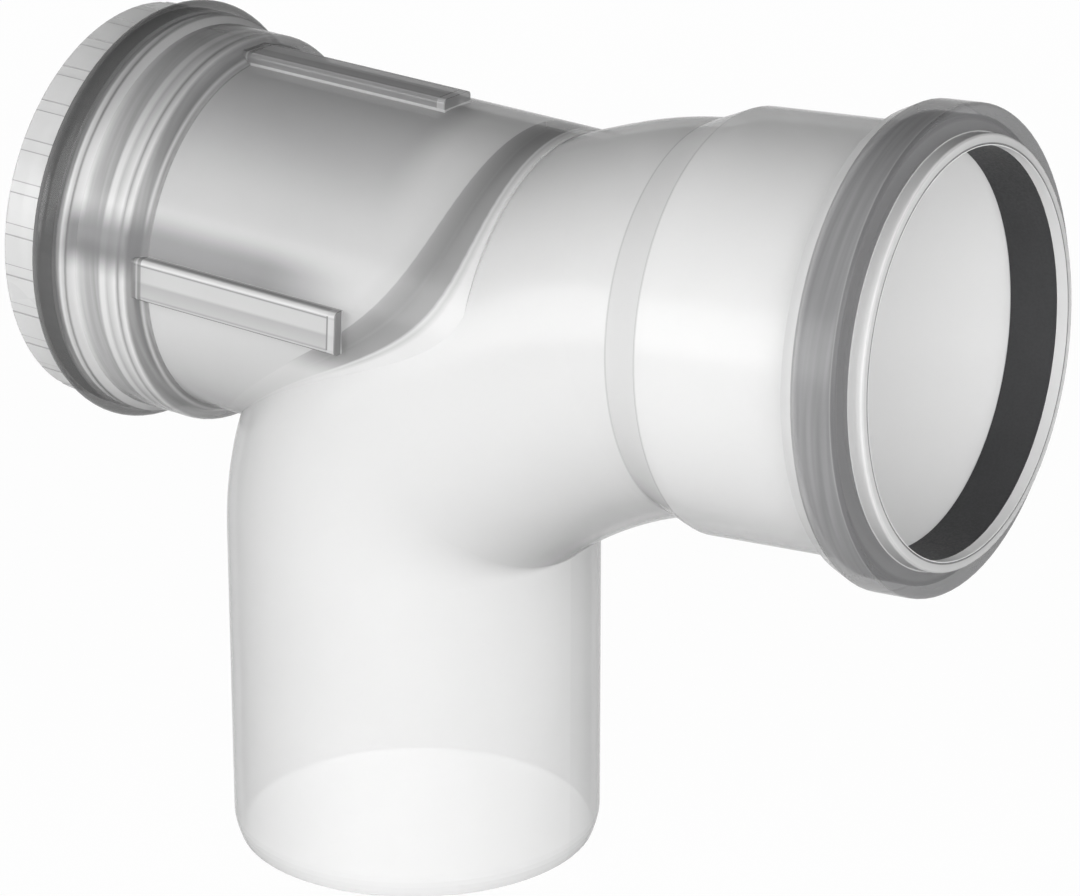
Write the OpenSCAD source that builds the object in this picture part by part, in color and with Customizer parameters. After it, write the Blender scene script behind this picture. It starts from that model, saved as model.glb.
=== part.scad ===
// Inspection elbow for an 80 mm plastic flue pipe.
// A spigot stands on the origin and points down. A wide bend carries the gas from it to a socket
// on the +X side. A short branch on the -X side, in line with the socket, is closed by a long plug,
// whose end follows the bend and whose ribs run in three hollow rails.

/* [Pipe] */
// Outer diameter of the spigot and of the bend
pipe_d = 80; // [70:1:110]
// Wall of the pipe
pipe_wall = 2; // [1.8:0.1:3]
// Height at which the axes of spigot, socket and branch cross
axis_height = 125.8; // [122:0.2:180]
// Angle between the spigot and the socket, and between the spigot and the branch
elbow_angle = 87; // [84:0.5:90]
// Height of the round lead-in at the lower end of the spigot
lead_in_height = 5; // [3:0.5:8]
// Depth of that lead-in, across the wall
lead_in_depth = 1.2; // [0.4:0.1:1.4]

/* [Bend] */
// Radius left at the throat of the bend
throat_r = 0.5; // [0.3:0.1:5]
// Angle turned by the tight first arc
first_arc = 51; // [46:0.5:55]
// Angle turned once the wide second arc ends
second_arc_end = 74; // [72:0.5:78]
// Centre line radius of the short last arc, over that of the pipe
last_arc_extra = 5; // [2:0.5:12]
// Length along the socket axis from the side of the pipe to the end of the bend
bend_reach = 34; // [30:0.5:44]

/* [Socket] */
// Clearance round a pipe in the socket, on the radius
pipe_clearance = 0.5; // [0.3:0.1:1]
// Wall of the socket
socket_wall = 2.66; // [2:0.02:3.4]
// Length of the cone that widens the bend to the socket
cone_len = 8.5; // [5:0.5:14]
// Depth of the socket from its mouth to the cone
socket_depth = 49.8; // [40:0.2:80]
// Wall of the bead outside the seal's groove
bead_wall = 2.4; // [2:0.1:3]
// Setback of the bead's front face from the mouth
bead_setback = 3; // [2:0.2:5]
// Length of the round part of the bead
bead_len = 8.6; // [7:0.2:12]
// Length of the bead's shallow back cone
bead_back = 3.4; // [2:0.2:6]
// Rise of that back cone, on the radius
bead_back_rise = 1.5; // [1:0.1:2]
// Radius of the bead's front shoulder, and length of the steep foot behind its back cone
shoulder = 1; // [0.5:0.1:1.5]
// Wall of the narrow rim in front of the bead
rim_wall = 2.3; // [1.8:0.1:3]
// Radius of the rim's outer edge
rim_round = 0.6; // [0.3:0.1:1]

/* [Socket seal] */
// Width of the seal's groove
groove_w = 8; // [6:0.2:9]
// Setback of the groove from the mouth
groove_setback = 4.8; // [4.6:0.1:6]
// Depth of the groove from the socket's bore
groove_depth = 5.5; // [4.5:0.1:8]
// Length of the seal's lip from the groove to the mouth
lip_front = 2.5; // [1:0.1:2.6]
// Clearance of the lip, folded back as on a seated pipe, over the pipe
lip_clearance = 0.3; // [0.25:0.05:0.4]
// Thickness of the seal's lip
lip_t = 0.9; // [0.6:0.1:1.2]
// Clearance of a seal in its groove
seal_clearance = 0.15; // [0.1:0.05:0.3]
// Width of one of the ribs round the seal's back
seal_rib = 1; // [0.6:0.1:1.4]
// Depth of the furrows between those ribs
seal_furrow = 0.6; // [0.3:0.1:1]

/* [Branch] */
// Step from the radius of the bend down to that of the branch
branch_step = 1.5; // [1:0.1:2.5]
// Length of the slanted shoulder that starts the branch's neck
neck_ramp = 4; // [3:0.5:7]
// Widening of the neck's bore over the hollows of the rails, on the radius
neck_rise = 0.3; // [0.1:0.1:2]
// Radius of the neck's shoulder, at the end of the slanted part
neck_round = 1.5; // [0.8:0.1:2]
// Length of the neck
neck_len = 12; // [10:0.5:20]
// Second widening, between the neck and the flange
flange_step = 1.6; // [1:0.1:2]
// Length of that second part
flange_land = 2.4; // [2:0.2:6]
// Width of the rounded flange bead
flange_w = 6; // [5:0.2:8]
// Rise of the flange bead over the part before it
flange_rise = 2.2; // [1.5:0.1:3]

/* [Branch rails] */
// Width of a hollow rail, which guides one of the plug's ribs
rail_w = 9.2; // [8:0.2:14]
// Height of a rail over the branch
rail_h = 2.4; // [2.2:0.1:3.4]
// Radius of a rail's outer edges
rail_round = 1; // [0.5:0.1:1.5]
// Wall of a rail
rail_wall = 1; // [0.8:0.1:1.2]
// Thickness of the closed end of a rail
rail_end_wall = 2; // [1:0.5:4]
// Length of a rail past the spigot axis
rail_past_axis = 10; // [0:0.5:14]

/* [Inspection cap] */
// Clearance of the cap in the branch and in its seal, on the radius
cap_clearance = 0.35; // [0.3:0.05:0.6]
// Gap between the flange and the cap's grip ring
cap_gap = 0.4; // [0.3:0.1:1.5]
// Depth of the plug's wide part in the neck, from the flange's face
plug_depth = 20; // [14:0.5:21]
// Wall of the plug
plug_wall = 2; // [1.6:0.1:3]
// Setback of the plug's end behind the bore of the bend
plug_end_setback = 1.4; // [0.6:0.1:2]
// Thickness of that end, which follows the bend
plug_end_wall = 3; // [2:0.1:4]
// Setback of the grip ring's rim inside that of the flange, on the radius
grip_inset = 2.45; // [0:0.05:3]
// Width of the grip ring
grip_w = 8; // [6:0.5:12]
// Number of flutes round the grip ring
grip_flutes = 30; // [18:2:36]
// Width of one flute
flute_w = 2.5; // [1.5:0.1:3.5]
// Radius of the grip ring's outer edge
grip_round = 0.8; // [0.4:0.1:1.5]
// Depth of one flute
flute_depth = 0.2; // [0.15:0.05:0.6]
// Width of the branch seal's groove
branch_groove_w = 4; // [3.4:0.2:4.6]
// Wall left outside that groove
branch_groove_wall = 2; // [1.8:0.1:2.4]

/* [Hidden] */
$fn = 96;

// Cutters reach this far past the faces that they cut
over = 1;
// Straight steps that make up one rounded edge
arc_steps = 4;
// Angle that the neck's shoulder turns through
neck_turn = 60;

pipe_r = pipe_d / 2;
pipe_bore_r = pipe_r - pipe_wall;

// Bend: three arcs in the XZ plane that end on the socket's axis, square to it and just inside its cone.
// Radii are kept to a thousandth, so that the arcs meet face to face.
first_r = pipe_r + throat_r;
last_r = pipe_r + last_arc_extra;
socket_s = pipe_r + bend_reach;
bend_end_s = socket_s + cone_len / 4;
bend_end_x = bend_end_s * sin(elbow_angle);
bend_end_z = axis_height + bend_end_s * cos(elbow_angle);
second_r = round(1000 * (bend_end_x - first_r * (1 - cos(first_arc))
    - last_r * (cos(second_arc_end) - cos(elbow_angle)))
    / (cos(first_arc) - cos(second_arc_end))) / 1000;
bend_start_z = round(1000 * (bend_end_z - first_r * sin(first_arc)
    - second_r * (sin(second_arc_end) - sin(first_arc))
    - last_r * (sin(elbow_angle) - sin(second_arc_end)))) / 1000;

// Socket, with distances along its axis from the crossing of the axes
socket_bore_r = pipe_r + pipe_clearance;
socket_r = socket_bore_r + socket_wall;
cone_end = socket_s + cone_len;
mouth = cone_end + socket_depth;
bead_front = mouth - bead_setback;
bead_start = bead_front - bead_len;
bead_foot = bead_start - bead_back;
rim_r = socket_bore_r + rim_wall;
groove_r = socket_bore_r + groove_depth;
bead_r = groove_r + bead_wall;
groove_front = mouth - groove_setback;
groove_back = groove_front - groove_w;
lip_seat_r = socket_bore_r + lip_t + seal_clearance;
lip_end = groove_front + lip_front;

// Branch, with distances along its axis from the crossing of the axes
branch_r = pipe_r - branch_step;
branch_bore_r = branch_r - pipe_wall;
rail_bore_r = branch_r + rail_h - rail_wall;
neck_bore_r = rail_bore_r + neck_rise;
neck_r = neck_bore_r + pipe_wall;
collar = pipe_r;
neck_start = collar + neck_ramp;
neck_end = neck_start + neck_len;
land_r = neck_r + flange_step;
land_start = neck_end + flange_step;
flange_start = land_start + flange_land;
flange_face = flange_start + flange_w;
flange_r = land_r + flange_rise;
branch_groove_r = flange_r - branch_groove_wall;
branch_groove_back = flange_start + (flange_w - branch_groove_w) / 2;

// Cap
plug_r = neck_bore_r - cap_clearance;
plug_tube_r = branch_bore_r - cap_clearance;
// The plug's tube starts inside the bend, past the spigot, and is then cut along the bend
plug_tube_start = -1.25 * pipe_r;
plug_end_r = pipe_bore_r + plug_end_setback;
grip_r = flange_r - grip_inset;
grip_back = flange_face + cap_gap;

// Places its children on the socket's axis, with Z along it
module on_socket_axis() {
    translate([0, 0, axis_height]) rotate([0, elbow_angle, 0]) children();
}

// Places its children on the branch's axis, with Z along it and X up
module on_branch_axis() {
    translate([0, 0, axis_height]) rotate([0, -elbow_angle, 0]) children();
}

// Points of a rounded edge about a centre, from the angle a to the angle b
function rounding(centre, r, a, b) = [
    for (i = [0 : arc_steps])
        let (angle = a + (b - a) * i / arc_steps)
        centre + r * [cos(angle), sin(angle)]
];

// Moves its children along X and Z in coarse and fine steps, each of few digits
module fine_shift(x, z) {
    coarse = [round(x), 0, round(z)];
    fine = [round(1e5 * (x - coarse[0])) / 1e5, 0, round(1e5 * (z - coarse[2])) / 1e5];
    rest = [x, 0, z] - coarse - fine;
    translate(coarse) translate(fine) translate(rest) children();
}

// One arc of the bend, of tube radius r, about the origin, from the angle a to the angle b
module bend_arc(arc_r, a, b, r, back_only) {
    rotate([90, 0, 180]) rotate_extrude(start = a, angle = b - a)
        if (back_only)
            intersection() {
                translate([arc_r, 0]) circle(r = r);
                translate([arc_r - throat_r, -2 * r]) square([2 * r, 4 * r]);
            }
        else
            translate([arc_r, 0]) circle(r = r);
}

// The whole bend as a solid of tube radius r, each arc about its own centre. Its back half alone may be
// wider than the arcs.
module bend(r, back_only = false) {
    second_over_first = second_r - first_r;
    last_over_second = last_r - second_r;
    translate([first_r, 0, bend_start_z]) {
        bend_arc(first_r, 0, first_arc, r, back_only);
        fine_shift(second_over_first * cos(first_arc), -second_over_first * sin(first_arc)) {
            bend_arc(second_r, first_arc, second_arc_end, r, back_only);
            fine_shift(last_over_second * cos(second_arc_end), -last_over_second * sin(second_arc_end))
                bend_arc(last_r, second_arc_end, elbow_angle, r, back_only);
        }
    }
}

// Outside of the spigot, with its round lead-in
module spigot_outside() {
    lead_in = [
        for (i = [0 : arc_steps])
            let (share = i / arc_steps)
            [pipe_r - lead_in_depth * (1 - sin(90 * share)), lead_in_height * share]
    ];
    rotate_extrude() polygon(concat([[0, 0]], lead_in, [[pipe_r, bend_start_z], [0, bend_start_z]]));
}

// Outside of the socket: cone, cylinder, bead and rim
module socket_outside() {
    tube = [
        [0, socket_s - cone_len],
        [2 * pipe_r - socket_r, socket_s - cone_len],
        [socket_r, cone_end],
        [socket_r, bead_foot - shoulder],
        [bead_r - bead_back_rise, bead_foot],
        [bead_r, bead_start]
    ];
    bead_edge = rounding([bead_r - shoulder, bead_front - shoulder], shoulder, 0, 90);
    rim_edge = rounding([rim_r - rim_round, mouth - rim_round], rim_round, 0, 90);
    on_socket_axis() rotate_extrude()
        polygon(concat(tube, bead_edge, [[rim_r, bead_front]], rim_edge, [[0, mouth]]));
}

// Inside of the socket: mouth, seat of the lip, groove, bore and cone
module socket_inside() {
    on_socket_axis() rotate_extrude() polygon([
        [0, socket_s - cone_len],
        [2 * pipe_bore_r - socket_bore_r, socket_s - cone_len],
        [socket_bore_r, cone_end],
        [socket_bore_r, groove_back],
        [groove_r, groove_back],
        [groove_r, groove_front],
        [lip_seat_r, groove_front],
        [lip_seat_r, lip_end],
        [socket_bore_r, lip_end],
        [socket_bore_r, mouth + over],
        [0, mouth + over]
    ]);
}

// Outside of the branch: tube, collar, neck, land and rounded flange bead
module branch_outside() {
    flange_mid = flange_start + flange_w / 2;
    tube = [[0, -branch_r], [branch_r, -branch_r], [branch_r, collar]];
    neck_edge = rounding([neck_r - neck_round, neck_start], neck_round, -neck_turn, 0);
    land = [[neck_r, neck_end], [land_r, land_start], [land_r, flange_face], [0, flange_face]];
    on_branch_axis() {
        rotate_extrude() polygon(concat(tube, neck_edge, land));
        rotate_extrude() intersection() {
            translate([flange_r - flange_w / 2, flange_mid]) circle(d = flange_w);
            translate([land_r - flange_rise, flange_start]) square([2 * flange_rise, flange_w]);
        }
    }
}

// Inside of the branch: bore, shoulder, neck and groove of its seal
module branch_inside() {
    on_branch_axis() rotate_extrude() polygon([
        [0, -branch_bore_r],
        [branch_bore_r, -branch_bore_r],
        [branch_bore_r, collar],
        [neck_bore_r, neck_start],
        [neck_bore_r, branch_groove_back],
        [branch_groove_r, branch_groove_back],
        [branch_groove_r, branch_groove_back + branch_groove_w],
        [neck_bore_r, branch_groove_back + branch_groove_w],
        [neck_bore_r, flange_face + over],
        [0, flange_face + over]
    ]);
}

// One hollow rail on the branch, at an angle from its top
module rail(angle) {
    root = branch_r - pipe_wall / 2;
    edge = branch_r + rail_h - rail_round;
    half = rail_w / 2;
    on_branch_axis() rotate([0, 0, angle]) translate([0, 0, -rail_past_axis])
        linear_extrude(neck_start + rail_past_axis) polygon(concat(
            [[root, -half]],
            rounding([edge, rail_round - half], rail_round, -90, 0),
            rounding([edge, half - rail_round], rail_round, 0, 90),
            [[root, half]]
        ));
}

// The hollow of a rail, open to the bore and to the neck, closed at its end by the bend
module rail_hollow(angle) {
    root = branch_bore_r - over;
    start = rail_end_wall - rail_past_axis;
    on_branch_axis() rotate([0, 0, angle])
        translate([root, rail_wall - rail_w / 2, start])
            cube([rail_bore_r - root, rail_w - 2 * rail_wall, neck_start - start]);
}

module elbow_body() {
    color("gainsboro") difference() {
        union() {
            spigot_outside();
            bend(pipe_r);
            socket_outside();
            branch_outside();
            for (angle = [-90, 0, 90]) rail(angle);
        }
        translate([0, 0, -over]) cylinder(r = pipe_bore_r, h = bend_start_z + over);
        bend(pipe_bore_r);
        socket_inside();
        branch_inside();
        for (angle = [-90, 0, 90]) rail_hollow(angle);
    }
}

// Lip seal of the socket, ribbed on its back
module socket_seal() {
    back_r = groove_r - seal_clearance;
    back = groove_back + seal_clearance;
    front = groove_front - seal_clearance;
    lip_tip_r = pipe_r + lip_clearance;
    color("dimgray") on_socket_axis() difference() {
        rotate_extrude() polygon([
            [socket_bore_r, lip_end - seal_clearance],
            [socket_bore_r + lip_t, lip_end - seal_clearance],
            [socket_bore_r + lip_t, front],
            [back_r, front],
            [back_r, back],
            [back_r - lip_t, back],
            [socket_bore_r + 2 * lip_t, front - 2 * lip_t],
            [lip_tip_r + lip_t, back],
            [lip_tip_r, back]
        ]);
        for (z = [back + seal_rib : 2 * seal_rib : front - 2 * seal_rib])
            rotate_extrude()
                translate([back_r - seal_furrow, z]) square([seal_furrow + over, seal_rib]);
    }
}

// Ring seal in the branch's flange
module branch_seal() {
    inner_r = neck_bore_r;
    outer_r = branch_groove_r - seal_clearance;
    width = branch_groove_w - 2 * seal_clearance;
    color("dimgray") on_branch_axis() rotate_extrude()
        translate([inner_r, branch_groove_back + seal_clearance])
            square([outer_r - inner_r, width]);
}

// Rib on the plug that runs in a rail, at an angle from the top
module plug_rib(angle) {
    root = plug_tube_r - plug_wall / 2;
    height = rail_bore_r - cap_clearance - root;
    width = rail_w - 2 * (rail_wall + cap_clearance);
    start = rail_end_wall + cap_clearance - rail_past_axis;
    rotate([0, 0, angle]) translate([root, -width / 2, start])
        cube([height, width, collar - start]);
}

// Inspection cap: a long plug that ends along the bend, open to the outside, and a fluted grip ring
module inspection_cap() {
    neck_part = flange_face - plug_depth;
    grip_front = grip_back + grip_w;
    color("white") difference() {
        on_branch_axis() union() {
            translate([0, 0, plug_tube_start])
                cylinder(r = plug_tube_r, h = neck_part + over - plug_tube_start);
            translate([0, 0, neck_part]) cylinder(r = plug_r, h = grip_back - neck_part);
            translate([0, 0, grip_back]) rotate_extrude() polygon(concat(
                [[0, 0], [grip_r, 0]],
                rounding([grip_r - grip_round, grip_w - grip_round], grip_round, 0, 90),
                [[0, grip_w]]
            ));
            for (angle = [-90, 0, 90]) plug_rib(angle);
        }
        bend(plug_end_r);
        difference() {
            on_branch_axis() translate([0, 0, plug_tube_start])
                cylinder(r = plug_tube_r - plug_wall, h = grip_front + over - plug_tube_start);
            bend(plug_end_r + plug_end_wall, back_only = true);
        }
        on_branch_axis() {
            translate([0, 0, neck_part + plug_wall])
                cylinder(r = plug_r - plug_wall, h = grip_front + over - neck_part - plug_wall);
            for (i = [0 : grip_flutes - 1])
                rotate([0, 0, i * 360 / grip_flutes])
                    translate([grip_r - flute_depth, -flute_w / 2, grip_back - over])
                        cube([flute_depth + over, flute_w, grip_w + 2 * over]);
        }
    }
}

elbow_body();
socket_seal();
branch_seal();
inspection_cap();
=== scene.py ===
"""Dresses the flue elbow: materials, floor, light and camera. Lengths are in metres."""
import math

import bpy
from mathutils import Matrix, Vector

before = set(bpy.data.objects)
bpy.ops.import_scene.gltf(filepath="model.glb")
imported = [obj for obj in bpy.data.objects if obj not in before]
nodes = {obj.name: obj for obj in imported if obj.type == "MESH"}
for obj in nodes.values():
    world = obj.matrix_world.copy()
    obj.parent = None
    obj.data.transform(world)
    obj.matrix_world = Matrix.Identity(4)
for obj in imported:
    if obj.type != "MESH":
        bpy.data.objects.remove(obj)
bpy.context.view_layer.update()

# The axes of the socket and the branch cross over the spigot, and each rises by 3 degrees
CROSSING = Vector((0, 0, 0.1258))
TILT = math.radians(3)
SOCKET_AXIS = Vector((math.cos(TILT), 0, math.sin(TILT)))
BRANCH_AXIS = Vector((-math.cos(TILT), 0, math.sin(TILT)))
BRANCH_UP = Vector((math.sin(TILT), 0, math.cos(TILT)))
ACROSS = Vector((0, 1, 0))

# The centre line of the bend: two arcs, the point where they meet, and the line's direction there
ARCS = ((Vector((0.0405, 0, 0.0701)), 0.0405), (Vector((0.10569, 0, -0.0104)), 0.14408))
ARC_JOINT = Vector((0.01501, 0, 0.10157))
ARC_TURN = Vector((0.77715, 0, 0.62932))

# Distances from the crossing along the socket's axis
CONE = (0.0740, 0.0825)
BEAD_START = 0.1168
SEAL_BAND = (0.1203, 0.1284)
RIM_END = 0.1321

# Distances from the crossing along the branch's axis
BRANCH = (-0.039, 0.040)
RAILS = (-0.0101, 0.0415)
RAIL_HOLLOW_END = -0.0080
NECK = (0.0398, 0.0602)
FLANGE = (0.0602, 0.0662)
GRIP_START = 0.0662

# Across a rail, from its middle
RAIL_HALF = 0.0047
HOLLOW_HALF = 0.0036

# The plug lies further in than the wall before it, by this share of the wall's radius
PLUG_INSET = 0.052

# The grip ring of the cap has 30 flutes
FLUTES = 30
FLUTE_HALF = 0.00125
GRIP_R = 0.04355

# Grey levels as (distance, level). The plug's end as painted shade, with thin painted light lines, by
# the distance from the bend's centre line:
PLUG_END_SHADE = (
    (0.0389, 0.92), (0.0392, 0.70), (0.0394, 0.84), (0.0396, 0.36), (0.0408, 0.33),
    (0.0410, 0.37), (0.0412, 0.36), (0.0422, 0.44), (0.0426, 0.50), (0.0428, 0.90),
)
# A rail's face, across it: painted highlights at its edges and painted shade over its hollow
RAIL_FACE_LIGHT_AND_SHADE = (
    (-0.0046, 0.34), (-0.0043, 0.50), (-0.0040, 0.86), (-0.0036, 0.52), (-0.0032, 0.70), (-0.0006, 0.60),
    (0.0000, 0.80), (0.0030, 0.76), (0.0033, 0.36), (0.0037, 0.97), (0.0044, 0.97), (0.0046, 0.60),
)
# The neck, along the branch, as painted light and shade of its steps: its walls and the plug's lie
# behind each other
NECK_LIGHT_AND_SHADE = (
    (0.0398, 0.30), (0.0404, 0.24), (0.0408, 0.70), (0.0412, 0.24), (0.0428, 0.30), (0.0434, 0.95),
    (0.0442, 0.80), (0.0448, 0.30), (0.0456, 1.00), (0.0476, 0.60), (0.0484, 1.00), (0.0494, 1.00),
    (0.0500, 0.44), (0.0545, 0.56), (0.0558, 0.95), (0.0572, 0.80), (0.0575, 0.15), (0.0579, 0.70),
    (0.0588, 1.00), (0.0593, 0.30), (0.0602, 0.20),
)
# The flange, along the branch, with the black seal behind it and painted light and shade across its
# rounding
FLANGE_SEAL_AND_SHADE = ((0.0602, 0.12), (0.0625, 0.08), (0.0640, 0.17), (0.0658, 0.32), (0.0662, 0.14))
# The end of the socket's rim, by the distance from the axis: dark at its inner edge, then painted light
# and painted shade across its chamfer, face and outer edge
RIM_LIGHT_AND_SHADE = (
    (0.0404, 0.14), (0.0409, 0.16), (0.0411, 0.80), (0.0424, 0.90), (0.0427, 0.60), (0.0430, 0.92),
)


def grey(level, cool=0.0):
    """A grey, with a little more blue where cool is above 0."""
    return (level, level, level + cool, 1)


class Tree:
    """A short way to write shader nodes."""

    def __init__(self, tree):
        self.tree = tree
        tree.nodes.clear()

    def node(self, kind, **settings):
        made = self.tree.nodes.new(kind)
        for name, value in settings.items():
            setattr(made, name, value)
        return made

    def link(self, source, target):
        self.tree.links.new(source, target)

    def put(self, socket, value):
        if isinstance(value, bpy.types.NodeSocket):
            self.link(value, socket)
        else:
            socket.default_value = value

    def math(self, operation, a, b=0.0, clamp=False):
        made = self.node("ShaderNodeMath", operation=operation, use_clamp=clamp)
        self.put(made.inputs[0], a)
        self.put(made.inputs[1], b)
        return made.outputs[0]

    def product(self, value, *factors):
        for factor in factors:
            value = self.math("MULTIPLY", value, factor)
        return value

    def vector(self, operation, a, b):
        made = self.node("ShaderNodeVectorMath", operation=operation)
        self.put(made.inputs[0], a)
        self.put(made.inputs[1], b)
        return made.outputs[0]

    def dot(self, vector, direction):
        made = self.node("ShaderNodeVectorMath", operation="DOT_PRODUCT")
        self.link(vector, made.inputs[0])
        made.inputs[1].default_value = direction
        return made.outputs["Value"]

    def length(self, vector):
        made = self.node("ShaderNodeVectorMath", operation="LENGTH")
        self.link(vector, made.inputs[0])
        return made.outputs["Value"]

    def noise(self, vector, scale, detail, roughness):
        made = self.node("ShaderNodeTexNoise")
        self.link(vector, made.inputs["Vector"])
        made.inputs["Scale"].default_value = scale
        made.inputs["Detail"].default_value = detail
        made.inputs["Roughness"].default_value = roughness
        return made.outputs["Fac"]

    def ramp(self, value, low, high, to_low=0.0, to_high=1.0, smooth=True):
        """Maps value from low..high to to_low..to_high."""
        made = self.node("ShaderNodeMapRange")
        made.interpolation_type = "SMOOTHSTEP" if smooth else "LINEAR"
        self.put(made.inputs["Value"], value)
        made.inputs["From Min"].default_value = low
        made.inputs["From Max"].default_value = high
        made.inputs["To Min"].default_value = to_low
        made.inputs["To Max"].default_value = to_high
        return made.outputs["Result"]

    def window(self, value, start, end, soft):
        """1 between start and end, falling to 0 over the distance soft on both sides."""
        rise = self.ramp(value, start - soft, start)
        fall = self.ramp(value, end, end + soft, 1.0, 0.0)
        return self.product(rise, fall)

    def near_zero(self, value, reach, soft):
        """1 where the size of value is under reach, falling to 0 over the distance soft."""
        return self.ramp(self.math("ABSOLUTE", value), reach, reach + soft, 1.0, 0.0)

    def bands(self, value, stops):
        """Grey levels along a distance, blended between stops of (distance, level)."""
        low, high = stops[0][0], stops[-1][0]
        ramp = self.node("ShaderNodeValToRGB")
        self.link(self.ramp(value, low, high, smooth=False), ramp.inputs[0])
        marks = ramp.color_ramp.elements
        while len(marks) < len(stops):
            marks.new(0.5)
        for mark, (place, level) in zip(marks, stops):
            mark.position = (place - low) / (high - low)
            mark.color = grey(level)
        return ramp.outputs["Color"]

    def mix(self, factor, a, b):
        made = self.node("ShaderNodeMix", data_type="RGBA")
        self.put(made.inputs["Factor"], factor)
        self.put(made.inputs["A"], a)
        self.put(made.inputs["B"], b)
        return made.outputs["Result"]

    def bump(self, height, strength, distance):
        made = self.node("ShaderNodeBump")
        made.inputs["Strength"].default_value = strength
        made.inputs["Distance"].default_value = distance
        self.link(height, made.inputs["Height"])
        return made.outputs["Normal"]

    def principled(self, **sockets):
        shader = self.node("ShaderNodeBsdfPrincipled")
        for name, value in sockets.items():
            self.put(shader.inputs[name.replace("_", " ")], value)
        out = self.node("ShaderNodeOutputMaterial")
        self.link(shader.outputs[0], out.inputs["Surface"])


def new_material(name):
    made = bpy.data.materials.new(name)
    made.use_nodes = True
    return made, Tree(made.node_tree)


def about_axis(t, from_crossing, axis):
    """Distance along an axis through the crossing, the part square to it, and its length."""
    along = t.dot(from_crossing, axis)
    on_axis = t.node("ShaderNodeVectorMath", operation="SCALE")
    on_axis.inputs[0].default_value = axis
    t.link(along, on_axis.inputs["Scale"])
    square = t.vector("SUBTRACT", from_crossing, on_axis.outputs[0])
    return along, square, t.length(square)


def to_bend(t, place):
    """Distance to the centre line of the bend, along its two arcs."""
    across = t.dot(place, ACROSS)
    flat = t.vector("MULTIPLY", place, (1, 0, 1))
    found = []
    for centre, radius in ARCS:
        out = t.math("SUBTRACT", t.length(t.vector("SUBTRACT", flat, centre)), radius)
        found.append(t.math("SQRT", t.math("ADD", t.product(out, out), t.product(across, across))))
    later = t.math("GREATER_THAN", t.dot(t.vector("SUBTRACT", place, ARC_JOINT), ARC_TURN), 0.0)
    first = t.product(found[0], t.math("SUBTRACT", 1.0, later))
    return t.math("ADD", first, t.product(found[1], later))


class Spot:
    """Where a point of the body lies, seen from its axes."""

    def __init__(self, t):
        self.place = t.node("ShaderNodeTexCoord").outputs["Object"]
        self.from_crossing = t.vector("SUBTRACT", self.place, CROSSING)
        self.along_socket, _, self.from_socket = about_axis(t, self.from_crossing, SOCKET_AXIS)
        self.along_branch, square, self.from_branch = about_axis(t, self.from_crossing, BRANCH_AXIS)
        self.up = t.dot(square, BRANCH_UP)
        self.side = t.dot(square, ACROSS)


def show_plug(t, spot, colour):
    """Painted shade for the plug behind the branch: a dark band where its end meets the bend, with thin
    painted light lines, and clouds of painted shade over its tube.

    It is placed in the cap's coordinates, so that it moves with the cap.
    """
    plug = t.node("ShaderNodeTexCoord", object=nodes["inspection_cap"]).outputs["Object"]
    _, square, _ = about_axis(t, t.vector("SUBTRACT", plug, CROSSING), BRANCH_AXIS)
    further_in = t.vector("MULTIPLY", square, (-PLUG_INSET,) * 3)
    depth = to_bend(t, t.vector("ADD", plug, further_in))
    on_branch = t.product(
        t.ramp(spot.from_branch, 0.03855, 0.0388, 1.0, 0.0),
        t.window(spot.along_branch, *BRANCH, 0.0005),
    )
    clouds = t.noise(t.vector("MULTIPLY", plug, (14.0, 22.0, 40.0)), 1.0, 0.0, 0.5)
    # Painted shade: clouds darken the branch over the plug's tube
    shade = t.product(
        t.ramp(depth, 0.0424, 0.0428),
        t.ramp(clouds, 0.35, 0.65, 0.12, 0.34),
        on_branch,
    )
    colour = t.mix(shade, colour, grey(0.40, 0.005))
    # Painted shade of the plug's end, with thin painted light lines, fading below the side rail
    band = t.product(
        t.window(depth, 0.0390, 0.0426, 0.0002),
        on_branch,
        t.ramp(spot.up, -0.0120, -0.0050, 0.2, 1.0),
    )
    return t.mix(band, colour, t.bands(depth, PLUG_END_SHADE))


def show_rails(t, spot, colour):
    """The hollow rails: painted highlights on the edges, painted shade over the hollow between thin
    lines, and a closed end.
    """
    on_side = t.product(
        t.ramp(t.math("ABSOLUTE", spot.side), 0.0387, 0.0389),
        t.near_zero(spot.up, RAIL_HALF, 0.0001),
    )
    on_top = t.product(t.ramp(spot.up, 0.0387, 0.0389), t.near_zero(spot.side, RAIL_HALF, 0.0001))
    across = t.math("ADD", t.product(spot.up, on_side), t.product(spot.side, on_top))
    on_rail = t.product(
        t.math("ADD", on_side, on_top, True),
        t.window(spot.along_branch, *RAILS, 0.0001),
    )
    # Painted highlights and painted shade across the rail's face
    face = t.bands(across, RAIL_FACE_LIGHT_AND_SHADE)
    closed = t.ramp(spot.along_branch, RAIL_HOLLOW_END, RAIL_HOLLOW_END + 0.0001, 1.0, 0.0)
    face = t.mix(t.product(closed, 0.7), face, grey(0.9))
    hollow_end = t.product(
        t.near_zero(t.math("SUBTRACT", spot.along_branch, RAIL_HOLLOW_END), 0.0001, 0.0002),
        t.near_zero(across, HOLLOW_HALF, 0.0001),
    )
    tip = t.near_zero(t.math("SUBTRACT", spot.along_branch, RAILS[0] + 0.0001), 0.0002, 0.0002)
    face = t.mix(t.math("MAXIMUM", hollow_end, tip), face, grey(0.36))
    return t.mix(on_rail, colour, face)


def shade_neck(t, spot, colour, combed):
    """Painted light and shade along the neck's steps, with fine streaks round it."""
    # Painted light and shade of the neck's steps
    neck = t.product(
        t.window(spot.along_branch, *NECK, 0.0002),
        t.ramp(spot.from_branch, 0.0384, 0.0385),
        t.ramp(combed, 0.3, 0.7, 0.75, 1.0),
    )
    return t.mix(neck, colour, t.bands(spot.along_branch, NECK_LIGHT_AND_SHADE))


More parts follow.
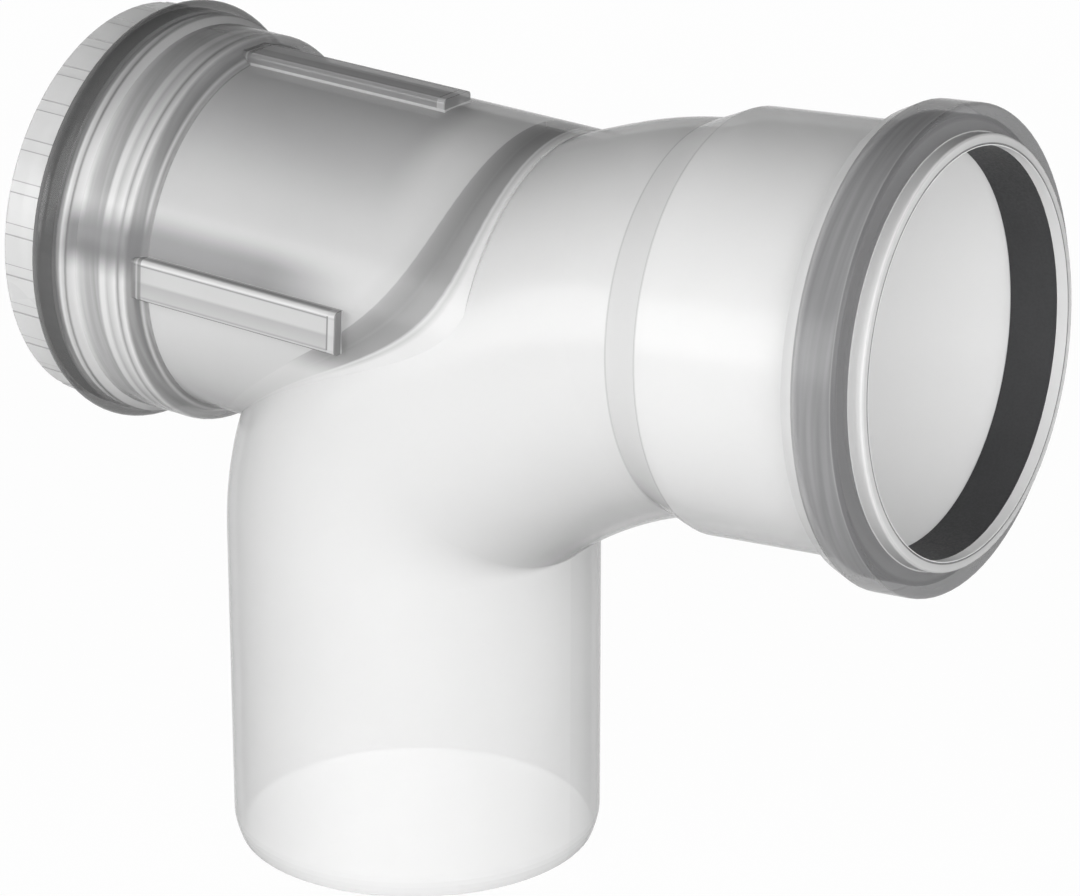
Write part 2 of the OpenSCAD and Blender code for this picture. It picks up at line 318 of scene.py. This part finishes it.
def shade_branch(t, spot, colour):
    """Painted shade over the branch's top, and in a band of the wall just above the side rails."""
    outside = t.ramp(spot.from_branch, 0.0378, 0.0382)
    # Painted shade over the branch's top
    top = t.product(
        t.ramp(spot.up, 0.0200, 0.0375),
        outside,
        t.window(spot.along_branch, -0.010, NECK[1], 0.010),
        t.ramp(spot.from_branch, 0.0436, 0.0445, 1.0, 0.0),
        0.42,
    )
    colour = t.mix(top, colour, grey(0.22, 0.005))
    on_side_rail = t.product(
        t.near_zero(spot.up, 0.0046, 0.0001),
        t.ramp(spot.along_branch, RAILS[1], RAILS[1] + 0.0001, 1.0, 0.0),
    )
    # Painted shade in a band just above the side rails
    beside = t.product(
        t.window(spot.up, 0.0050, 0.0085, 0.0065),
        t.window(spot.along_branch, 0.012, 0.0560, 0.028),
        t.ramp(spot.along_branch, 0.0565, 0.0595, 1.0, 0.3),
        outside,
        t.math("SUBTRACT", 1.0, on_side_rail),
        0.9,
    )
    return t.mix(beside, colour, grey(0.24, 0.005))


def show_seals_and_shade(t, spot, colour, combed):
    """The black seals behind the bead and the flange, painted shade on the bead's front face, and
    painted light and shade on the rim's end and across the flange.
    """
    seen_seal = t.mix(combed, grey(0.26, 0.005), grey(0.48, 0.005))
    band = t.product(
        t.window(spot.along_socket, *SEAL_BAND, 0.0004),
        t.ramp(spot.from_socket, 0.0445, 0.0455),
    )
    colour = t.mix(band, colour, seen_seal)
    # Painted shade on the bead's front face
    front = t.product(
        t.ramp(spot.along_socket, SEAL_BAND[1], SEAL_BAND[1] + 0.0004),
        t.ramp(spot.from_socket, 0.0429, 0.0431),
    )
    colour = t.mix(front, colour, grey(0.22, 0.005))
    # Painted light and shade across the rim's end
    rim = t.product(
        t.ramp(spot.along_socket, RIM_END, RIM_END + 0.0001),
        t.ramp(spot.from_socket, 0.0404, 0.0405),
    )
    colour = t.mix(rim, colour, t.bands(spot.from_socket, RIM_LIGHT_AND_SHADE))
    # The black seal behind the flange, with painted light and shade across its rounding
    flange = t.product(
        t.window(spot.along_branch, *FLANGE, 0.0003),
        t.ramp(spot.from_branch, 0.0436, 0.0445),
    )
    return t.mix(flange, colour, t.bands(spot.along_branch, FLANGE_SEAL_AND_SHADE))


def light_socket_and_edges(t, spot, colour, inside):
    """Painted light: the cone and the socket's inside are painted full white to lift their shading, and
    thin lines of painted shade follow the outer edges.
    """
    # Painted light: the cone is painted full white to lift its shading
    cone = t.product(
        t.window(spot.along_socket, *CONE, 0.0001),
        t.ramp(spot.from_socket, 0.0385, 0.0392),
    )
    colour = t.mix(cone, colour, grey(1))
    # Painted light: the socket's inside is painted full white
    colour = t.mix(inside, colour, grey(1))
    # Thin lines of painted shade along the outer edges
    for edge, outside in ((CONE[0], 0.0393), (CONE[1], 0.0422), (BEAD_START, 0.0425)):
        line = t.product(
            t.near_zero(t.math("SUBTRACT", spot.along_socket, edge), 0.00015, 0.00015),
            t.ramp(spot.from_socket, outside - 0.0002, outside),
            0.4,
        )
        colour = t.mix(line, colour, grey(0.45))
    return colour


def body_material():
    """Pale glossy polypropylene, clear enough for what lies close behind it to show, with painted light
    and shade in its colour.
    """
    made, t = new_material("translucent_body")
    spot = Spot(t)
    mottle = t.noise(spot.place, 45.0, 2.0, 0.55)
    combed = t.noise(t.vector("MULTIPLY", spot.from_crossing, (800.0, 28.0, 28.0)), 1.0, 1.0, 0.6)
    # Mask of the socket's inside, where painted light lifts the colour and the coat is left off
    inside = t.product(
        t.ramp(spot.from_socket, 0.0406, 0.0407, 1.0, 0.0),
        t.ramp(spot.along_socket, 0.0800, CONE[1]),
    )
    colour = t.mix(mottle, grey(0.93), grey(0.97))
    colour = show_plug(t, spot, colour)
    colour = show_rails(t, spot, colour)
    colour = shade_neck(t, spot, colour, combed)
    colour = shade_branch(t, spot, colour)
    colour = show_seals_and_shade(t, spot, colour, combed)
    colour = light_socket_and_edges(t, spot, colour, inside)
    # The tinted coat darkens the edges, where more plastic lies in the line of sight
    t.principled(
        Base_Color=colour,
        Roughness=t.ramp(mottle, 0.3, 0.7, 0.17, 0.25),
        IOR=1.49,
        Specular_IOR_Level=0.3,
        Normal=t.bump(mottle, 0.12, 0.0012),
        Coat_Weight=t.math("SUBTRACT", 1.0, inside),
        Coat_IOR=1.025,
        Coat_Roughness=0.1,
        Coat_Tint=grey(0.875),
        Alpha=0.68,
    )
    return made


def rubber_material():
    """Dull black rubber with a fine grain."""
    made, t = new_material("black_seal")
    place = t.node("ShaderNodeTexCoord").outputs["Object"]
    grain = t.noise(place, 1800.0, 4.0, 0.6)
    cloud = t.noise(place, 60.0, 3.0, 0.5)
    t.principled(
        Base_Color=t.mix(cloud, grey(0.030, 0.002), grey(0.055, 0.002)),
        Roughness=t.ramp(grain, 0.3, 0.7, 0.5, 0.68),
        Normal=t.bump(grain, 0.1, 0.0002),
    )
    return made


def cap_material():
    """Whiter moulded plastic with a satin surface, and thin lines of painted shade at the edges of its
    flutes.
    """
    made, t = new_material("white_cap")
    place = t.node("ShaderNodeTexCoord").outputs["Object"]
    grain = t.noise(place, 1400.0, 1.0, 0.6)
    cloud = t.noise(place, 40.0, 1.0, 0.5)
    along, square, from_axis = about_axis(t, t.vector("SUBTRACT", place, CROSSING), BRANCH_AXIS)
    angle = t.math("ARCTAN2", t.dot(square, ACROSS), t.dot(square, BRANCH_UP))
    from_flute = t.math("PINGPONG", angle, math.pi / FLUTES)
    # Thin lines of painted shade at the edges of the flutes
    line = t.product(
        t.near_zero(t.math("SUBTRACT", from_flute, FLUTE_HALF / GRIP_R), 0.0018, 0.0025),
        t.ramp(from_axis, 0.0428, 0.0431),
        t.ramp(along, GRIP_START, GRIP_START + 0.0002),
        0.7,
    )
    t.principled(
        Base_Color=t.mix(line, t.mix(cloud, grey(0.74), grey(0.80)), grey(0.28)),
        Roughness=t.ramp(cloud, 0.3, 0.7, 0.26, 0.36),
        Normal=t.bump(grain, 0.08, 0.0002),
        Coat_Weight=1.0,
        Coat_IOR=1.04,
        Coat_Roughness=0.1,
        Coat_Tint=grey(0.9),
        Alpha=0.6,
    )
    return made


def floor_material():
    """White floor. What looks at it sees it nearly white, with the object's shadow left in it."""
    made, t = new_material("studio_floor")
    rays = t.node("ShaderNodeLightPath")
    seen = t.math("ADD", rays.outputs["Is Camera Ray"], rays.outputs["Is Glossy Ray"], True)
    seen = t.math("ADD", seen, rays.outputs["Is Transmission Ray"], True)
    place = t.node("ShaderNodeTexCoord").outputs["Object"]
    diffuse = t.node("ShaderNodeBsdfDiffuse")
    t.link(t.mix(t.noise(place, 6.0, 2.0, 0.5), grey(0.80), grey(0.83)), diffuse.inputs["Color"])
    glow = t.node("ShaderNodeEmission")
    glow.inputs["Color"].default_value = grey(1)
    glow.inputs["Strength"].default_value = 1.0
    both = t.node("ShaderNodeMixShader")
    t.link(t.product(seen, 0.97), both.inputs[0])
    t.link(diffuse.outputs[0], both.inputs[1])
    t.link(glow.outputs[0], both.inputs[2])
    out = t.node("ShaderNodeOutputMaterial")
    t.link(both.outputs[0], out.inputs["Surface"])
    return made


def dress(node, material):
    mesh = nodes[node].data
    mesh.materials.clear()
    mesh.materials.append(material)


def make_floor():
    """A wide floor just under the spigot's end."""
    half, gap = 6.0, 0.0004
    corners = [(-half, -half, 0), (half, -half, 0), (half, half, 0), (-half, half, 0)]
    mesh = bpy.data.meshes.new("studio_floor")
    mesh.from_pydata(corners, [], [(0, 1, 2, 3)])
    mesh.materials.append(floor_material())
    floor = bpy.data.objects.new("studio_floor", mesh)
    bpy.context.scene.collection.objects.link(floor)
    floor.location = (0, 0, -gap)


def make_world():
    """A room that is pale at the horizon and dim overhead."""
    world = bpy.data.worlds.new("studio")
    bpy.context.scene.world = world
    world.use_nodes = True
    t = Tree(world.node_tree)
    height = t.dot(t.node("ShaderNodeTexCoord").outputs["Generated"], (0, 0, 1))
    level = t.ramp(height, 0.0, 0.75, 0.64, 0.03)
    back = t.node("ShaderNodeBackground")
    t.link(t.mix(level, grey(0), grey(1)), back.inputs["Color"])
    out = t.node("ShaderNodeOutputWorld")
    t.link(back.outputs[0], out.inputs["Surface"])


def area_light(name, azimuth, elevation, distance, size, watts):
    """A soft box that looks at the elbow. Azimuth 0 is in front, and it turns towards the socket."""
    aim = Vector((0.02, 0, 0.11))
    a, e = math.radians(azimuth), math.radians(elevation)
    back = Vector((math.sin(a) * math.cos(e), -math.cos(a) * math.cos(e), math.sin(e)))
    lamp = bpy.data.lights.new(name, "AREA")
    lamp.shape = "RECTANGLE"
    lamp.size, lamp.size_y = size
    lamp.energy = watts
    holder = bpy.data.objects.new(name, lamp)
    bpy.context.scene.collection.objects.link(holder)
    holder.location = aim + back * distance
    holder.rotation_euler = (-back).to_track_quat("-Z", "Y").to_euler()
    return holder


def make_camera():
    """The photograph's camera, found by fitting the rings of the spigot, the socket and the flange."""
    azimuth, elevation = math.radians(33.587), math.radians(20.135)
    camera = bpy.data.cameras.new("camera")
    camera.sensor_width = 36
    camera.lens = 141.82
    camera.clip_start, camera.clip_end = 0.05, 60
    holder = bpy.data.objects.new("camera", camera)
    bpy.context.scene.collection.objects.link(holder)
    holder.location = (0.4922, -0.6926, 0.3981)
    holder.rotation_euler = (math.pi / 2 - elevation, 0, azimuth)
    bpy.context.scene.camera = holder


dress("elbow_body", body_material())
rubber = rubber_material()
dress("socket_seal", rubber)
dress("branch_seal", rubber)
dress("inspection_cap", cap_material())

make_floor()
make_world()
make_camera()
area_light("front_box", 36, 19, 1.6, (1.7, 1.2), 18)
area_light("left_box", -34, 5, 1.8, (1.2, 1.0), 20.5)
area_light("right_box", 78, 5, 1.5, (0.8, 0.8), 8.5)
# The light from behind fills the far side and leaves no bright line along the top
area_light("back_box", 214, 8, 1.7, (1.6, 1.0), 24).visible_glossy = False

scene = bpy.context.scene
scene.view_settings.view_transform = "Standard"
# Few bounces are enough for this pale scene, and a light tree is slower for four lamps
scene.cycles.max_bounces = 4
scene.cycles.use_light_tree = False
